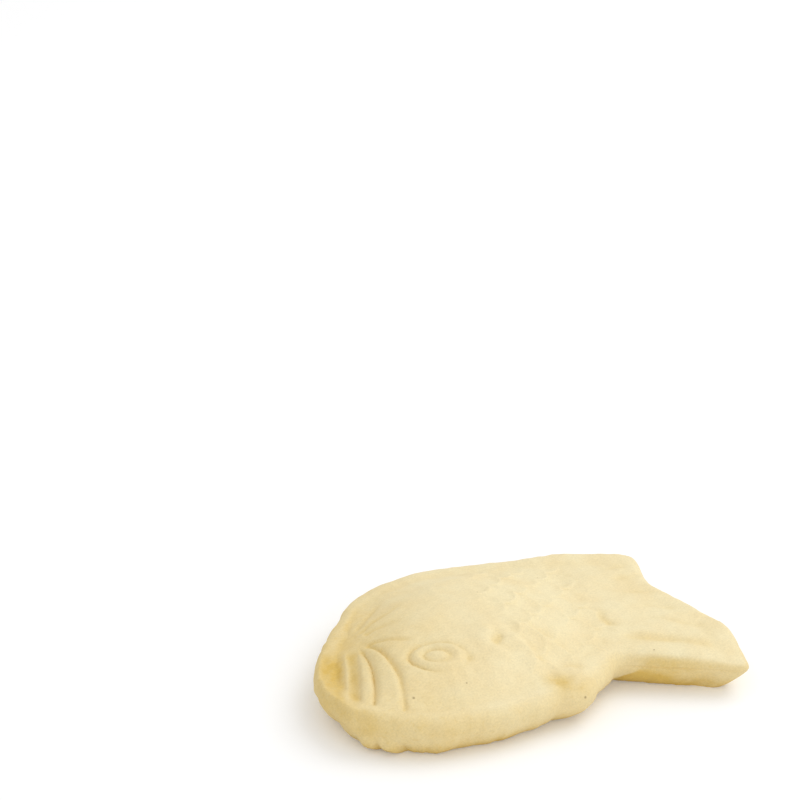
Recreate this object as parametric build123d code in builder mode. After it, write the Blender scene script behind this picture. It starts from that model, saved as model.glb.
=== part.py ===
"""Fish-shaped ceramic chopstick rest: two press-moulded halves that meet at a level seam.

Millimetres, +Z up, head towards -X, belly towards -Y, origin at the middle of the flat base.
"""
import os

from build123d import *

os.makedirs("parts", exist_ok=True)

# Reach of the outline's corners from the origin, seen from above
head_reach = 30.5
tail_reach = 30.0
back_reach = 20.1
belly_reach = 20.4

# Heights: table to seam, upright band over the seam, rounded rim, rim to the top of the crown
seam_height = 3.9
rim_land = 0.3
rim_round = 2.0
crown_rise = 4.0

# Crown over the body: its middle from the snout, its turn, and the ovals that it rises through
crown_from_snout = 24.3
crown_drop = 0.65
crown_turn = 31.0
# Each oval: share of the rise, margin to the snout, margin to belly and back
crown_ovals = (
    (-0.1, 2.9, 3.5),
    (0.0, 3.6, 4.2),
    (0.21, 6.1, 6.2),
    (0.48, 9.2, 8.3),
    (0.77, 13.0, 10.9),
    (1.0, 17.8, 14.8),
)

# How far the lower wall draws in from the seam to the base
wall_draw = 2.3
chin_draw = 3.6
fin_draw = 4.6
tail_draw = 3.7
base_rounding_share = 0.6

# Ribs under the chin, placed by their share of the way from chin to throat
rib_round = 1.3
rib_stand_out = 0.5
rib_shares = (0.24, 0.6)

# Pressed marks: widths and depths
bold_width = 1.0
bold_depth = 0.6
fine_width = 0.5
fine_depth = 0.3
hollow_width = 1.8
hollow_depth = 0.5

# Eye, with its outer ring and its pupil ring
eye_from_snout = 16.9
eye_from_belly = 11.4
eye_long = 4.2
eye_short = 2.6
eye_turn = -21.0
pupil_share = 0.5

# Fan of petals beside the mouth: its pivot, its first line, and the step from line to line
fan_from_snout = 8.6
fan_from_belly = 22.3
petal_lines = 3
petal_start = Vector(1.4, -4.3)
petal_middle = Vector(2.5, -10.2)
petal_end = Vector(1.8, -16.2)
petal_start_step = Vector(-1.6, 0.1)
petal_middle_step = Vector(-3.0, 0.1)
petal_end_step = Vector(-3.4, 1.4)
brow_line = (Vector(0.9, -2.3), Vector(4.0, -4.8), Vector(6.7, -6.6))

# Forehead lines that spread from the fan's pivot
forehead_lines = 4
forehead_first_angle = 58.0
forehead_angle_step = -22.0
forehead_start = 2.6
forehead_length = 9.0
forehead_length_step = -0.9

# Gill line and scales, placed from the middle of the crown
gill_line = (Vector(1.8, -3.8), Vector(-0.4, -7.4), Vector(2.1, -11.4))
scale_first_x = 5.7
scale_radius = 2.9
scale_sweep = 100.0
scale_columns = 3
scale_rows = 4
scale_pitch_x = 2.8
scale_pitch_y = 5.6

# Tail: root crease and rays, placed from the tail's tip, the lower lobe's ray first
root_crease = (Vector(-18.5, 7.0), Vector(-16.3, 0.5), Vector(-16.7, -6.0))
tail_rays = 4
ray_root = Vector(-14.4, -8.0)
ray_tip = Vector(-4.6, -14.0)
ray_root_span = Vector(-1.6, 16.0)
ray_tip_span = Vector(-4.4, 24.0)

# Hollow at the root of the anal fin, placed from the fin's corner
hollow_start = Vector(-5.4, 4.4)
hollow_end = Vector(-2.0, 2.8)

# Corners of the seam's outline from the snout round by the belly, at shares of the four reaches
# Each corner: x, y, rounding, draw-in of the base
snout = (-head_reach, -0.255 * belly_reach, 12.0, chin_draw)
chin = (-0.934 * head_reach, -0.686 * belly_reach, 8.0, chin_draw)
throat = (-0.662 * head_reach, -0.961 * belly_reach, 19.0, wall_draw)
belly = (-0.315 * head_reach, -belly_reach, 34.0, wall_draw)
anal_fin = (0.15 * tail_reach, -0.961 * belly_reach, 3.5, fin_draw)
notch = (0.39 * tail_reach, -0.588 * belly_reach, 2.3, wall_draw)
lower_lobe = (0.927 * tail_reach, -1.044 * belly_reach, 2.5, tail_draw)
lobe_shoulder = (tail_reach, -0.515 * belly_reach, 6.0, wall_draw)
tail_fork = (0.823 * tail_reach, 0.239 * back_reach, 6.0, wall_draw)
upper_lobe = (0.857 * tail_reach, 0.662 * back_reach, 2.5, wall_draw)
dorsal_end = (0.483 * tail_reach, 0.881 * back_reach, 36.0, wall_draw)
crest = (-0.216 * head_reach, back_reach, 17.0, wall_draw)
forehead = (-0.538 * head_reach, 0.841 * back_reach, 14.0, wall_draw)
brow = (-0.846 * head_reach, 0.299 * back_reach, 40.0, wall_draw)
seam_corners = [
    snout, chin, throat, belly, anal_fin, notch, lower_lobe,
    lobe_shoulder, tail_fork, upper_lobe, dorsal_end, crest, forehead, brow,
]

# Heights, sizes and places that follow from the above
rim_height = rim_land + rim_round
rim_top = seam_height + rim_height
body_half_width = (back_reach + belly_reach) / 2
crown_centre = Vector(crown_from_snout - head_reach, (back_reach - belly_reach) / 2 - crown_drop)
fan = Vector(fan_from_snout - head_reach, fan_from_belly - belly_reach)
eye = Vector(eye_from_snout - head_reach, eye_from_belly - belly_reach)
tail_tip = Vector(tail_reach, 0)
fin_corner = Vector(*anal_fin[:2])
mark_plane = Plane.XY.offset(seam_height + rim_land)


def draw_in(corners):
    """The corners, each moved inward along its mitre by its own draw-in and rounded tighter."""
    places = [Vector(*corner[:2]) for corner in corners]
    moved = []
    for i, (_, _, rounding, draw) in enumerate(corners):
        arriving = (places[i] - places[i - 1]).normalized().rotate(Axis.Z, 90)
        leaving = (places[(i + 1) % len(places)] - places[i]).normalized().rotate(Axis.Z, 90)
        place = places[i] + (arriving + leaving) * (draw / (1 + arriving.dot(leaving)))
        moved.append((place.X, place.Y, rounding * base_rounding_share, draw))
    return moved


def outline_face(corners, height):
    """Level face at a height, bounded by a polygon with each corner rounded."""
    with BuildSketch(Plane.XY.offset(height)) as face:
        with BuildLine():
            FilletPolyline(
                *[corner[:2] for corner in corners],
                radius=[rounding for _, _, rounding, _ in corners],
                close=True,
            )
        make_face()
    return face.sketch


def between(first, last, share):
    """Point a share of the way from one corner to another."""
    return Vector(*first[:2]) + (Vector(*last[:2]) - Vector(*first[:2])) * share


def arc_through(origin, places):
    """Arc through three places given from an origin."""
    return ThreePointArc(*[origin + place for place in places])


def press(blank, marks, depth):
    """What stands over the blank's top, once that is lowered by a depth, within the marks."""
    with BuildPart() as stamp:
        extrude(marks, amount=rim_round + crown_rise)
        add(blank.moved(Location((0, 0, -depth))), mode=Mode.SUBTRACT)
    return stamp.part


base_corners = draw_in(seam_corners)
seam_face = outline_face(seam_corners, seam_height)
base_face = outline_face(base_corners, 0)

# Lower half: drafted wall from the seam in to the flat base, with ribs under the chin
with BuildPart() as lower_half:
    loft([base_face, seam_face], ruled=True)
    for share in rib_shares:
        foot = between(base_corners[1], base_corners[2], share)
        seam = between(chin, throat, share)
        outward = (seam - foot).normalized()
        rib_foot = foot + outward * (rib_stand_out - rib_round)
        rib_run = seam - outward * rib_round - rib_foot + Vector(0, 0, seam_height)
        with BuildSketch() as rib_section:
            with Locations(rib_foot):
                Circle(rib_round)
        extrude(rib_section.sketch, amount=rib_run.length, dir=rib_run.normalized())

# Crown: a smooth rise through ovals, the first of them sunk under the rim's top
with BuildPart() as crown:
    ovals = []
    for share, snout_margin, side_margin in crown_ovals:
        with BuildSketch(Plane((crown_centre.X, crown_centre.Y, rim_top + crown_rise * share))) as oval:
            Ellipse(crown_from_snout - snout_margin, body_half_width - side_margin, rotation=crown_turn)
        ovals.append(oval.sketch)
    loft(ovals)

# Blank of the upper half: a plate with a rounded rim, and the crown on it
with BuildPart() as blank_half:
    extrude(seam_face, amount=rim_height)
    fillet(blank_half.faces().sort_by(Axis.Z)[-1].edges(), radius=rim_round)
    add(crown.part)

# Centre lines of the pressed marks
petals = []
for i in range(petal_lines):
    step = (petal_start_step * i, petal_middle_step * i, petal_end_step * i)
    petals.append(arc_through(fan, (petal_start + step[0], petal_middle + step[1], petal_end + step[2])))
forehead_rays = []
for i in range(forehead_lines):
    heading = Vector(1, 0).rotate(Axis.Z, forehead_first_angle + forehead_angle_step * i)
    reach = forehead_start + forehead_length + forehead_length_step * i
    forehead_rays.append(Line(fan + heading * forehead_start, fan + heading * reach))
scales = []
for column in range(scale_columns):
    stagger = column % 2
    for row in range(scale_rows - stagger):
        x = scale_first_x + scale_pitch_x * column
        y = scale_pitch_y * (row + (stagger - scale_rows + 1) / 2)
        scales.append(CenterArc(crown_centre + Vector(x, y), scale_radius, -scale_sweep / 2, scale_sweep))
rays = []
for i in range(tail_rays):
    share = i / (tail_rays - 1)
    rays.append(Line(tail_tip + ray_root + ray_root_span * share, tail_tip + ray_tip + ray_tip_span * share))
brow_mark = arc_through(fan, brow_line)
gill_mark = arc_through(crown_centre, gill_line)
root_mark = arc_through(tail_tip, root_crease)
hollow_mark = Line(fin_corner + hollow_start, fin_corner + hollow_end)

with BuildSketch(mark_plane) as bold_marks:
    for line in petals:
        trace(line, line_width=bold_width)

with BuildSketch(mark_plane) as eye_marks:
    with Locations(eye):
        for share in (1, pupil_share):
            long, short = eye_long * share, eye_short * share
            Ellipse(long, short, rotation=eye_turn)
            Ellipse(long - fine_width, short - fine_width, rotation=eye_turn, mode=Mode.SUBTRACT)

with BuildSketch(mark_plane) as fine_marks:
    for line in forehead_rays + scales + rays + [brow_mark, gill_mark, root_mark]:
        trace(line, line_width=fine_width)

with BuildSketch(mark_plane) as hollow_marks:
    SlotArc(hollow_mark, height=hollow_width)

# Upper half: the blank with face, scales, fin and tail pressed to an even depth over crown and rim
with BuildPart() as upper_half:
    add(blank_half.part)
    add(press(blank_half.part, bold_marks.sketch, bold_depth), mode=Mode.SUBTRACT)
    add(press(blank_half.part, eye_marks.sketch, fine_depth), mode=Mode.SUBTRACT)
    add(press(blank_half.part, fine_marks.sketch, fine_depth), mode=Mode.SUBTRACT)
    add(press(blank_half.part, hollow_marks.sketch, hollow_depth), mode=Mode.SUBTRACT)

lower_half.part.label = "lower_half"
upper_half.part.label = "upper_half"
export_step(lower_half.part, "parts/lower_half.step")
export_step(upper_half.part, "parts/upper_half.step")
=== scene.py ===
"""A chopstick rest: a small fish pressed from pale unglazed clay in two halves, luted round a level seam.

The head points to -X and the belly to -Y. Shapes are worked out in millimetres and go into the meshes in metres.
"""
from math import pi, radians

import bpy
import numpy as np
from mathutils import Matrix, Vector


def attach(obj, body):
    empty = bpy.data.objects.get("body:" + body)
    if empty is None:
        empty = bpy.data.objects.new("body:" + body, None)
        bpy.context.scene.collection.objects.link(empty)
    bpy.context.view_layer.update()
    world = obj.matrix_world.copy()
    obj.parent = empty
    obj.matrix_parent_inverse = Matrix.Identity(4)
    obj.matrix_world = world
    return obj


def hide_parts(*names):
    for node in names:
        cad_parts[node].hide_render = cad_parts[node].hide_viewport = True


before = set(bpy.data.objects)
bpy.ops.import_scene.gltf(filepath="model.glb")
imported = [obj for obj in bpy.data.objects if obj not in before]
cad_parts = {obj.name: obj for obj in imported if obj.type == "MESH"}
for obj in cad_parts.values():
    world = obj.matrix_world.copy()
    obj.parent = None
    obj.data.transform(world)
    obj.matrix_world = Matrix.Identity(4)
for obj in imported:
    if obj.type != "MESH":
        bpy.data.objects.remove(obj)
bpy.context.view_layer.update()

MM = 0.001

# The fish at the seam, counter-clockwise from the snout: x, y, rounding, draw-in at the base
OUTLINE = np.array([
    (-30.5, -5.2, 13.0, 3.9),  # snout
    (-27.9, -13.6, 8.9, 2.6),  # chin
    (-20.2, -19.6, 20.0, 2.5),  # throat
    (-9.6, -20.4, 36.0, 2.3),  # belly
    (4.8, -18.7, 2.4, 3.8),  # fin
    (11.7, -12.0, 2.3, 2.8),  # notch
    (28.1, -19.8, 0.8, 1.7),  # lower lobe
    (29.8, -10.3, 6.0, 2.8),  # shoulder of the tail
    (24.1, 4.6, 6.0, 2.3),  # fork of the tail
    (25.7, 13.2, 2.5, 2.3),  # upper lobe
    (14.4, 17.4, 39.0, 2.3),  # end of the back
    (-6.6, 19.9, 20.0, 2.3),  # crest
    (-16.5, 17.1, 16.7, 2.3),  # forehead
    (-25.8, 6.0, 43.0, 2.3),  # brow
])
CHIN, LOWER_LOBE, UPPER_LOBE, BROW = 1, 6, 9, 13

# Rounding of the base: its share of the seam's, and its size at the lower lobe
BASE_ROUNDING_SHARE = 0.6
LOBE_BASE_ROUNDING = 1.5
# Widths of the blurs that soften the outline and the direction in which the rim's band is set in
OUTLINE_SOFTENING = 0.6
BAND_SOFTENING = 3.6
# Waves of the hand-trimmed edge: number round the outline, height, phase
EDGE_WAVES = (
    (11, 0.05, 0.4), (17, 0.06, 2.1), (26, 0.06, 4.4),
    (37, 0.05, 1.3), (53, 0.035, 5.2), (71, 0.03, 3.0),
)
# Share of the waves on tail and back, and where they calm down along x and y
CALM_SHARE = 0.35
CALM_TAIL = (6.0, 14.0)
CALM_BACK = (8.0, 15.0)
# Nicks of the edge: x, y, half width, depth
EDGE_NICKS = (
    (-24.9, 5.4, 0.6, 0.25), (-21.9, 10.4, 2.6, 0.45), (-25.6, 5.0, 2.8, 0.5), (0.3, -19.4, 2.0, 0.5),
)

# Heights: base to seam, upright land over the seam, rounded rim, dome of the body
SEAM = 3.9
LAND = 0.2
RIM_RISE = 2.1
DOME_RISE = 4.2
# Reach of the rim's rounding on the body, at the snout and on the tail, and where these meet along x
RIM_REACH = 2.8
SNOUT_RIM_REACH = 1.0
TAIL_RIM_REACH = 1.8
SNOUT_RIM = (-28.0, -17.0)
TAIL_RIM = (9.0, 15.0)
# Share by which the rim is thinned round the tip of the lower lobe
TIP_THINNING = 0.58
TIP_RADIUS = 6.5
# Fall of the top towards the back, over y and over the depth inside the outline
BACK_FALL = 0.12
BACK_FALL_Y = (5.0, 16.0)
BACK_FALL_DEPTH = (0.0, 1.5)
# The dome: depth where it starts, spread and power of its rise, share left on the tail, where it is let down along x
DOME_FROM = 2.6
DOME_SPREAD = 6.0
DOME_POWER = 1.7
TAIL_SHARE = 0.1
DOME_END = (-3.0, 15.0)
# Creaseless depth: blending for rim and dome, exact depths over which the rim's takes over, step between its points
RIM_BLEND = 0.7
DOME_BLEND = 2.5
EXACT_TO_SOFT = (0.8, 2.0)
COARSE_STEP = 4

# Grids: points of the fine outline, steps along and across the fish, rows of rim and wall, width of the rim's band
FINE = 2048
LENGTH_STEPS = 320
WIDTH_STEPS = 170
RIM_ROWS = 22
WALL_ROWS = 30
BAND = 3.0
# Points worked on at a time, points of a mark's line
BLOCK = 4000
STROKE_POINTS = 60
# Table of the creaseless depth: entries close to the line and far from it, where these end and begin in blends, its end
CLOSE_ENTRIES, FAR_ENTRIES = 60, 80
CLOSE_END, FAR_START = 3.0, 3.2
DEEPEST = 30.0


# Curves and fields

def soft_step(value, low, high):
    """0 below low, 1 above high, and 3t^2 - 2t^3 between."""
    t = np.clip((value - low) / (high - low), 0, 1)
    return t * t * (3 - 2 * t)


def hump(value, width):
    """A Gaussian of that half width, 1 at 0."""
    return np.exp(-(value / width) ** 2)


def away_from(x, y, place):
    """Straight distance from a place on the fish, seen from above."""
    return np.hypot(x - place[0], y - place[1])


def rounded_polygon(corner, rounding, arc_points=48):
    """A closed polygon with each corner turned into an arc.

    The arc's centre lies on the corner's bisector, rounding / sin(half the inside angle) away. Its points are the slerp
    from the radius to one side's tangent point to the radius to the other's, at even angles.
    """
    back = np.roll(corner, 1, axis=0) - corner
    ahead = np.roll(corner, -1, axis=0) - corner
    back /= np.linalg.norm(back, axis=1, keepdims=True)
    ahead /= np.linalg.norm(ahead, axis=1, keepdims=True)
    half = 0.5 * np.arccos(np.clip((back * ahead).sum(1), -1, 1))
    middle = back + ahead
    middle /= np.linalg.norm(middle, axis=1, keepdims=True)
    centre = corner + middle * (rounding / np.sin(half))[:, None]
    start = corner + back * (rounding / np.tan(half))[:, None] - centre
    end = corner + ahead * (rounding / np.tan(half))[:, None] - centre
    turn = (pi - 2 * half)[:, None]
    share = np.linspace(0, 1, arc_points)[None, :]
    first = np.sin((1 - share) * turn) / np.sin(turn)
    last = np.sin(share * turn) / np.sin(turn)
    arc = centre[:, None] + first[..., None] * start[:, None] + last[..., None] * end[:, None]
    return arc.reshape(-1, 2)


def drawn_in(corner, draw):
    """Corners moved inward along their mitre: (n1 + n2) * draw / (1 + n1.n2), n1 and n2 being the inward normals."""
    side = np.roll(corner, -1, axis=0) - corner
    normal = np.stack([-side[:, 1], side[:, 0]], 1) / np.linalg.norm(side, axis=1, keepdims=True)
    before = np.roll(normal, 1, axis=0)
    return corner + (before + normal) * (draw / (1 + (before * normal).sum(1)))[:, None]


def outward(line):
    """Unit normals of a closed line, pointing out of it: the chord from point to point but one, turned by a quarter."""
    side = np.roll(line, -1, axis=0) - np.roll(line, 1, axis=0)
    side /= np.linalg.norm(side, axis=1, keepdims=True)
    return np.stack([side[:, 1], -side[:, 0]], 1)


def lengths(points):
    """Running length along a closed line, from 0 at its first point to the whole way round."""
    step = np.linalg.norm(np.roll(points, -1, axis=0) - points, axis=1)
    return np.concatenate([[0], np.cumsum(step)])


def read_along(points, run, at):
    """Points of a closed line at the given running lengths, by straight interpolation."""
    closed = np.vstack([points, points[:1]])
    at = np.mod(at, run[-1])
    return np.stack([np.interp(at, run, closed[:, k]) for k in range(2)], 1)


def smooth_round(values, spread):
    """A closed row of values blurred by a Gaussian whose width is counted in steps, through its Fourier series."""
    wave = np.fft.rfftfreq(len(values))[:, None]
    series = np.fft.rfft(values, axis=0) * np.exp(-2 * (pi * spread * wave) ** 2)
    return np.fft.irfft(series, n=len(values), axis=0)


def spline(values, at):
    """Catmull-Rom curve through even values, read at shares of its length: a cubic of the four values around."""
    padded = np.concatenate([[2 * values[0] - values[1]], values, [2 * values[-1] - values[-2]]])
    place = np.clip(at, 0, 1) * (len(values) - 1)
    k = np.minimum(place.astype(int), len(values) - 2)
    t = place - k
    a, b, c, d = padded[k], padded[k + 1], padded[k + 2], padded[k + 3]
    return 0.5 * (2 * b + (c - a) * t + (2 * a - 5 * b + 4 * c - d) * t ** 2 + (3 * b - a - 3 * c + d) * t ** 3)


def squared_gaps(at, line):
    """Squared distance from each place to each point of a line: |a|^2 + |b|^2 - 2 a.b."""
    return (at ** 2).sum(1)[:, None] + (line ** 2).sum(1)[None] - 2 * at @ line.T


def to_side(at, a, b):
    """The nearest place on the side from a to b, as a share of that side, and the gap from it to each point."""
    t = np.clip(((at - a) * (b - a)).sum(1) / ((b - a) ** 2).sum(1), 0, 1)
    return t, at - a - t[:, None] * (b - a)


def depth_inside(x, y, line):
    """Distance to a closed line: its nearest point first, then the nearer of the two sides that meet there."""
    at = np.stack([x.ravel(), y.ravel()], 1)
    ahead = np.roll(line, -1, axis=0)
    found = np.empty(len(at))
    for first in range(0, len(at), BLOCK):
        block = at[first:first + BLOCK]
        near = squared_gaps(block, line).argmin(1)
        sides = [(near + shift) % len(line) for shift in (0, -1)]
        gaps = [np.linalg.norm(to_side(block, line[k], ahead[k])[1], axis=1) for k in sides]
        found[first:first + BLOCK] = np.minimum(*gaps)
    return found.reshape(x.shape)


def soft_depth(x, y, line, blend):
    """Distance to a closed line with no crease down the middle.

    The line's pull, the sum of exp(-distance / blend) over its points, is read back as the depth at which a long
    straight edge would pull as much, from a table of that edge's pull.
    """
    step = lengths(line)[-1] / len(line)
    close = np.linspace(0, CLOSE_END * blend, CLOSE_ENTRIES)
    table_depth = np.concatenate([close, np.linspace(FAR_START * blend, DEEPEST, FAR_ENTRIES)])
    edge = np.arange(-2 * DEEPEST, 2 * DEEPEST, step)
    table = np.log(np.exp(-np.hypot(table_depth[:, None], edge[None]) / blend).sum(1))
    at = np.stack([x.ravel(), y.ravel()], 1)
    found = np.empty(len(at))
    for first in range(0, len(at), BLOCK):
        away = np.sqrt(np.maximum(squared_gaps(at[first:first + BLOCK], line), 0))
        pull = np.exp(-away / blend).sum(1)
        found[first:first + BLOCK] = np.interp(-np.log(pull), -table, table_depth)
    return found.reshape(x.shape)


def stroke(x, y, points):
    """Nearest distance to a curve through points, the side of it (left +1, right -1), and how far along, 0 to 1."""
    points = np.asarray(points, float)
    share = np.linspace(0, 1, STROKE_POINTS)
    line = np.stack([spline(points[:, k], share) for k in range(2)], 1)
    at = np.stack([x.ravel(), y.ravel()], 1)
    near = np.clip(squared_gaps(at, line).argmin(1), 1, len(line) - 2)
    best = np.full(len(at), np.inf)
    along = np.zeros(len(at))
    side = np.zeros(len(at))
    for shift in (-1, 0):
        a = line[near + shift]
        b = line[near + shift + 1]
        t, gap = to_side(at, a, b)
        dist = np.linalg.norm(gap, axis=1)
        better = dist < best
        best = np.where(better, dist, best)
        along = np.where(better, (near + shift + t) / (len(line) - 1), along)
        side = np.where(better, np.sign((b - a)[:, 0] * gap[:, 1] - (b - a)[:, 1] * gap[:, 0]), side)
    return best.reshape(x.shape), side.reshape(x.shape), along.reshape(x.shape)


# The fish's outline and its grids

def trim(line):
    """How far the hand-trimmed edge lies inside a drawn one: sines round the outline, calmer on tail and back, and
    Gaussian nicks."""
    x, y = line.T
    turn = 2 * pi * np.arange(len(line)) / len(line)
    waves = sum(height * np.sin(number * turn + phase) for number, height, phase in EDGE_WAVES)
    lively = (1 - soft_step(x, *CALM_TAIL)) * (1 - soft_step(y, *CALM_BACK))
    nicks = sum(cut * hump(away_from(x, y, (nick_x, nick_y)), half) for nick_x, nick_y, half, cut in EDGE_NICKS)
    return waves * (CALM_SHARE + (1 - CALM_SHARE) * lively) + nicks


corner_xy = OUTLINE[:, :2]
seam_rounding, corner_draw = OUTLINE[:, 2], OUTLINE[:, 3]
base_rounding = seam_rounding * BASE_ROUNDING_SHARE
base_rounding[LOWER_LOBE] = LOBE_BASE_ROUNDING
drawn_seam = rounded_polygon(corner_xy, seam_rounding)
drawn_base = rounded_polygon(drawn_in(corner_xy, corner_draw), base_rounding)
drawn_run = lengths(drawn_seam)
fine_step = drawn_run[-1] / FINE
fine_at = np.arange(FINE) * fine_step
seam_fine = smooth_round(read_along(drawn_seam, drawn_run, fine_at), OUTLINE_SOFTENING / fine_step)
base_fine = smooth_round(read_along(drawn_base, drawn_run, fine_at), OUTLINE_SOFTENING / fine_step)
inward_fine = -outward(seam_fine)
trimmed = trim(seam_fine)[:, None] * inward_fine
seam_fine = seam_fine + trimmed
base_fine = base_fine + trimmed
band_fine = seam_fine + smooth_round(inward_fine, BAND_SOFTENING / fine_step) * BAND
fine_run = lengths(seam_fine)


def corner_at(k):
    """Running length at the outline's point nearest to a corner."""
    return fine_run[np.linalg.norm(seam_fine - corner_xy[k], axis=1).argmin()]


def stations():
    """Running lengths of the columns: even steps along the belly, the tail's edge, the back and the snout."""
    stops = [corner_at(k) for k in (CHIN, LOWER_LOBE, UPPER_LOBE, BROW)]
    stops = stops + [stops[0] + fine_run[-1]]
    counts = (LENGTH_STEPS, WIDTH_STEPS, LENGTH_STEPS, WIDTH_STEPS)
    return np.concatenate([np.linspace(stops[k], stops[k + 1], counts[k], endpoint=False) for k in range(4)])


station = stations()
COLUMNS = len(station)
seam_line = read_along(seam_fine, fine_run, station)
base_line = read_along(base_fine, fine_run, station)
band_line = read_along(band_fine, fine_run, station)


def filled(ring):
    """Grid across a closed ring of columns: the transfinite blend of its four stretches, with the ring kept."""
    n, m = LENGTH_STEPS, WIDTH_STEPS
    loop = np.vstack([ring, ring[:1]])
    near, right = loop[:n + 1], loop[n:n + m + 1]
    far, left = loop[n + m:2 * n + m + 1][::-1], loop[2 * n + m:][::-1]
    u = np.linspace(0, 1, n + 1)[:, None, None]
    v = np.linspace(0, 1, m + 1)[None, :, None]
    across = (1 - v) * near[:, None] + v * far[:, None]
    along = (1 - u) * left[None] + u * right[None]
    corners = (1 - u) * ((1 - v) * near[0] + v * far[0]) + u * ((1 - v) * near[-1] + v * far[-1])
    return across + along - corners


def grid_numbers():
    """Point numbers of a filled grid that is laid out row by row."""
    return np.arange((LENGTH_STEPS + 1) * (WIDTH_STEPS + 1)).reshape(LENGTH_STEPS + 1, WIDTH_STEPS + 1)


def ring_numbers():
    """Point numbers of the ring round a filled grid, one for each column."""
    number = grid_numbers()
    return np.concatenate([number[:-1, 0], number[-1, :-1], number[:0:-1, -1], number[0, :0:-1]])


def grid_faces():
    """Quads of a filled grid, facing up."""
    number = grid_numbers()
    return np.stack([number[:-1, :-1], number[1:, :-1], number[1:, 1:], number[:-1, 1:]], -1).reshape(-1, 4)


def strip_faces(lower, upper):
    """Quads between two closed rows of point numbers, facing out when the first row is the lower one."""
    return np.stack([lower, np.roll(lower, -1), np.roll(upper, -1), upper], 1)


# Relief of the pressing: lines run over the fish as they were cut in the mould

# Fan under the snout: its pivot, and its lines as the angle round the pivot (degrees) at set distances from it
PIVOT = np.array((-21.9, 1.9))
FAN_REACH = np.array((2.0, 4.5, 6.5, 8.5, 10.5, 12.3, 13.7, 15.3, 18.0))
CHEEK_CREASE = np.array((-70.0, -71.9, -74.2, -76.0, -77.5, -79.2, -81.4, -83.6, -87.0))
MIDDLE_CREASE = np.array((-88.0, -90.8, -91.4, -92.4, -94.2, -96.0, -97.5, -99.4, -102.0))
PETAL_EDGE = np.array((-99.0, -101.7, -102.9, -103.8, -104.6, -105.3, -105.6, -106.0, -107.0))
FRONT_RIDGE = np.array((-138.0, -123.0, -117.0, -114.9, -113.6, -112.8, -112.5, -112.5, -113.5))
# The fan begins over this distance from the pivot, and angles round the pivot are counted down from the last one
FAN_START = (1.2, 4.4)
LAST_ANGLE = radians(90)
# Petals: edges and lift. Width that gives the full lift, most that a wider petal gets, where petals end at the rim
PETALS = ((MIDDLE_CREASE, CHEEK_CREASE, 0.42), (PETAL_EDGE, MIDDLE_CREASE, 0.44))
PETAL_WIDTH = 2.0
WIDEST_PETAL = 1.1
PETAL_RIM = (2.1, 3.2)
# Creases: line, half width, cut. Share by which they grow shallower, and over which distance
CREASES = ((CHEEK_CREASE, 0.58, 0.4), (MIDDLE_CREASE, 0.66, 0.38))
CREASE_FADE = 0.5
CREASE_FADE_REACH = (10.5, 15.0)
# Cheek behind the last crease: lift, how far it dies away, where it begins across the crease
CHEEK_LIFT = 0.22
CHEEK_SPREAD = 1.8
CHEEK_START = (-0.2, 0.7)
# Valley before the petals, thin ridge before the valley: cut or lift, power or half width, where they end at the rim
VALLEY_CUT = 0.16
VALLEY_POWER = 0.8
VALLEY_RIM = (0.6, 3.4)
RIDGE_LIFT = 0.15
RIDGE_HALF = 0.42
RIDGE_RIM = (2.2, 4.6)
# Hollow of the snout: cut, and where it begins across the ridge, at the rim, from the pivot and round it
SCOOP_CUT = 0.36
SCOOP_START = (0.0, 1.7)
SCOOP_RIM = (0.2, 1.9)
SCOOP_REACH = (2.0, 6.0)
SCOOP_ANGLE = (radians(-195), radians(-150))
# Fine folds in the hollow: height, number round the pivot, where they end
FOLD_HEIGHT = 0.06
FOLDS_ROUND = 24
FOLD_END = (7.0, 10.5)

# Grooves: line, half width, cut (a ridge where negative), shares of the length over which they fade in and out
BROW_GROOVE = (
    ((-21.0, -0.4), (-20.2, -1.0), (-19.2, -1.7), (-17.9, -2.9), (-16.6, -3.9), (-15.2, -4.7)), 0.42, 0.3, (0.12, 0.25))
GILL_NOTCH = (((-6.0, -9.2), (-4.6, -8.1), (-3.5, -7.2)), 0.6, 0.42, (0.4, 0.4))
TAIL_DENT = (((13.7, -0.6), (13.2, -2.4), (13.1, -3.9), (13.7, -5.1), (15.0, -6.0)), 0.6, 0.4, (0.4, 0.35))
TAIL_GROOVE = (
    ((12.6, -7.2), (15.1, -8.7), (17.6, -10.0), (19.6, -10.8), (21.6, -11.9), (24.3, -13.9), (26.6, -16.0)),
    0.8, 0.32, (0.25, 0.45))
FIN_RIDGE = (((0.6, -14.6), (2.2, -14.3), (3.4, -14.4), (4.8, -15.1)), 0.7, -0.26, (0.35, 0.35))
FIN_LINE = (((1.6, -13.5), (3.4, -13.1), (4.8, -13.4), (5.6, -14.4)), 0.5, 0.14, (0.35, 0.35))
FIN_CUT = 0.26
FIN_HOLLOW = (((-2.0, -15.3), (0.4, -15.9), (1.8, -16.4), (3.4, -17.2)), 1.45, FIN_CUT, (0.45, 0.45))
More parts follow.
